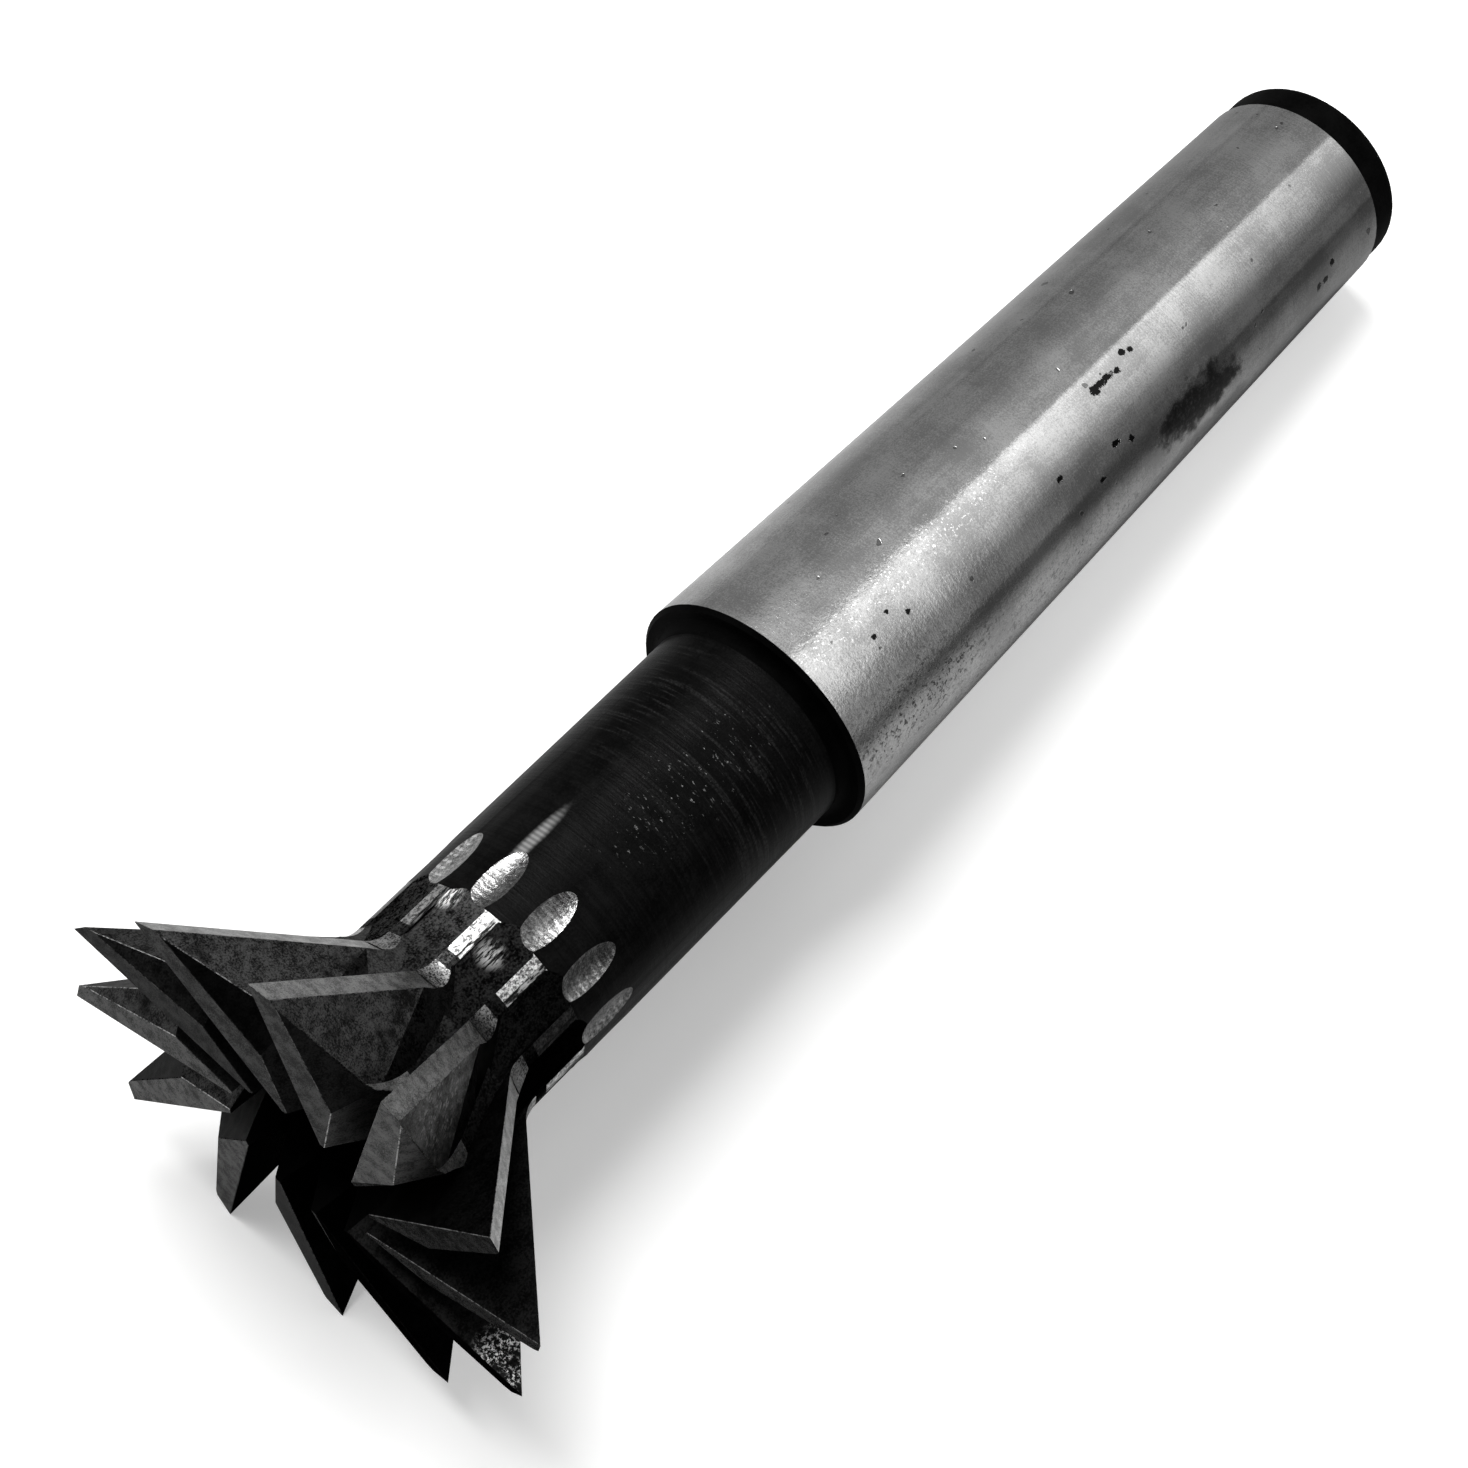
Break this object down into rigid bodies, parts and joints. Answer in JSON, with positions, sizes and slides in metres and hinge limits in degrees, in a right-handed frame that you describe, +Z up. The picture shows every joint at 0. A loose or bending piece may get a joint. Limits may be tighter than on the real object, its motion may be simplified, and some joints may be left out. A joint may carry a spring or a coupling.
{
  "type": "dovetail cutter",
  "caption": "Solid dovetail milling cutter with a 45 degree toothed head, turned neck and Morse taper shank with a drawbar thread.",
  "frame": {"origin": "centre of the footprint, on the surface it rests on", "axes": "+Z up from that surface, +X along the cutter from the toothed head towards the end of the shank"},
  "size_m": [0.1436, 0.0482, 0.0481],
  "materials": {
    "cutter_steel": "ground high-speed steel, black oxide on neck, shoulder and end band"
  },
  "bodies": {
    "root": {"dovetail_cutter": "cutter_steel"}
  },
  "joints": []
}
